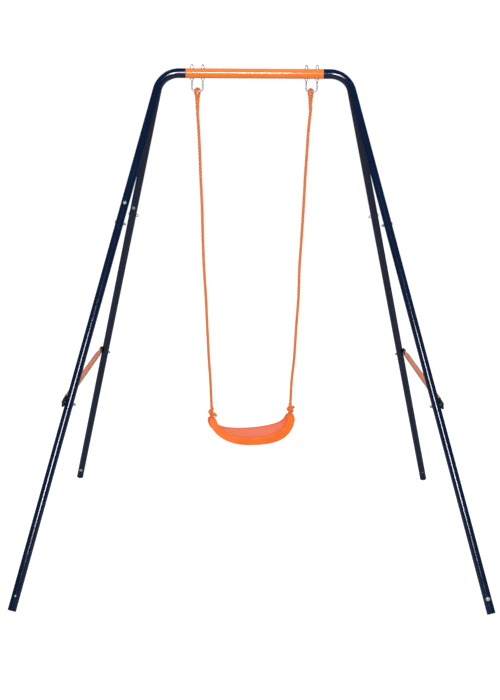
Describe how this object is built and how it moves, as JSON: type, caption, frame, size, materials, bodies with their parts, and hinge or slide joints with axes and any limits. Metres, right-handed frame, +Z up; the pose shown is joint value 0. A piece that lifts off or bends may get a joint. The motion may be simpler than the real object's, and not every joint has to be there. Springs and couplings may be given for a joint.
{
  "type": "single-seat garden swing",
  "caption": "Single-seat garden swing: a steel tube A-frame with splayed legs, a straight crossbar, side braces, two hanging ropes and a curved moulded seat.",
  "frame": {"origin": "on the ground, under the middle of the crossbar", "axes": "+Z up, +X along the crossbar to the right, -Y to the front"},
  "size_m": [1.751, 1.6636, 1.9643],
  "materials": {
    "navy_paint": "gloss",
    "orange_paint": "gloss",
    "orange_plastic": "satin",
    "black_plastic": "satin",
    "zinc_steel": "satin",
    "orange_rope": "twisted rope"
  },
  "bodies": {
    "frame": {"crossbar": "orange_paint", "left_corner_tube": "navy_paint", "left_brace": "orange_paint", "left_hanger": "zinc_steel", "left_outer_domed_nut": "zinc_steel", "left_outer_hanger_nut": "zinc_steel", "left_inner_domed_nut": "zinc_steel", "left_inner_hanger_nut": "zinc_steel", "right_corner_tube": "navy_paint", "right_brace": "orange_paint", "right_hanger": "zinc_steel", "right_outer_domed_nut": "zinc_steel", "right_outer_hanger_nut": "zinc_steel", "right_inner_domed_nut": "zinc_steel", "right_inner_hanger_nut": "zinc_steel", "front_left_upper_leg": "navy_paint", "front_left_lower_leg": "navy_paint", "front_left_foot_plug": "black_plastic", "front_left_brace_cap": "black_plastic", "front_left_joint_bolt": "zinc_steel", "front_left_joint_nut": "zinc_steel", "front_left_corner_screw": "zinc_steel", "front_left_foot_bolt": "zinc_steel", "front_left_brace_bolt": "zinc_steel", "front_left_brace_nut": "zinc_steel", "back_left_upper_leg": "navy_paint", "back_left_lower_leg": "navy_paint", "back_left_foot_plug": "black_plastic", "back_left_brace_cap": "black_plastic", "back_left_joint_bolt": "zinc_steel", "back_left_joint_nut": "zinc_steel", "back_left_corner_screw": "zinc_steel", "back_left_foot_bolt": "zinc_steel", "back_left_brace_bolt": "zinc_steel", "back_left_brace_nut": "zinc_steel", "front_right_upper_leg": "navy_paint", "front_right_lower_leg": "navy_paint", "front_right_foot_plug": "black_plastic", "front_right_brace_cap": "black_plastic", "front_right_joint_bolt": "zinc_steel", "front_right_joint_nut": "zinc_steel", "front_right_corner_screw": "zinc_steel", "front_right_foot_bolt": "zinc_steel", "front_right_brace_bolt": "zinc_steel", "front_right_brace_nut": "zinc_steel", "back_right_upper_leg": "navy_paint", "back_right_lower_leg": "navy_paint", "back_right_foot_plug": "black_plastic", "back_right_brace_cap": "black_plastic", "back_right_joint_bolt": "zinc_steel", "back_right_joint_nut": "zinc_steel", "back_right_corner_screw": "zinc_steel", "back_right_foot_bolt": "zinc_steel", "back_right_brace_bolt": "zinc_steel", "back_right_brace_nut": "zinc_steel"},
    "left_rope": {"left_rope": "orange_rope", "left_rope_eye": "orange_rope"},
    "right_rope": {"right_rope": "orange_rope", "right_rope_eye": "orange_rope"},
    "seat": {"seat": "orange_plastic"}
  },
  "joints": [
    {"name": "left_rope_swing", "type": "hinge", "parent": "frame", "child": "left_rope", "pos_m": [-0.228, 0, 1.86], "axis": [1, 0, 0], "range_deg": [-55, 55]},
    {"name": "right_rope_swing", "type": "hinge", "parent": "frame", "child": "right_rope", "pos_m": [0.228, 0, 1.86], "axis": [1, 0, 0], "range_deg": [-55, 55]},
    {"name": "seat_tilt", "type": "hinge", "parent": "left_rope", "child": "seat", "pos_m": [-0.16873, -0.03493, 0.5272], "axis": [0.9781, 0.2079, 0], "range_deg": [-20, 20]}
  ],
  "couplings": [
    {"joint": "right_rope_swing", "follows": "left_rope_swing", "ratio": 1}
  ]
}
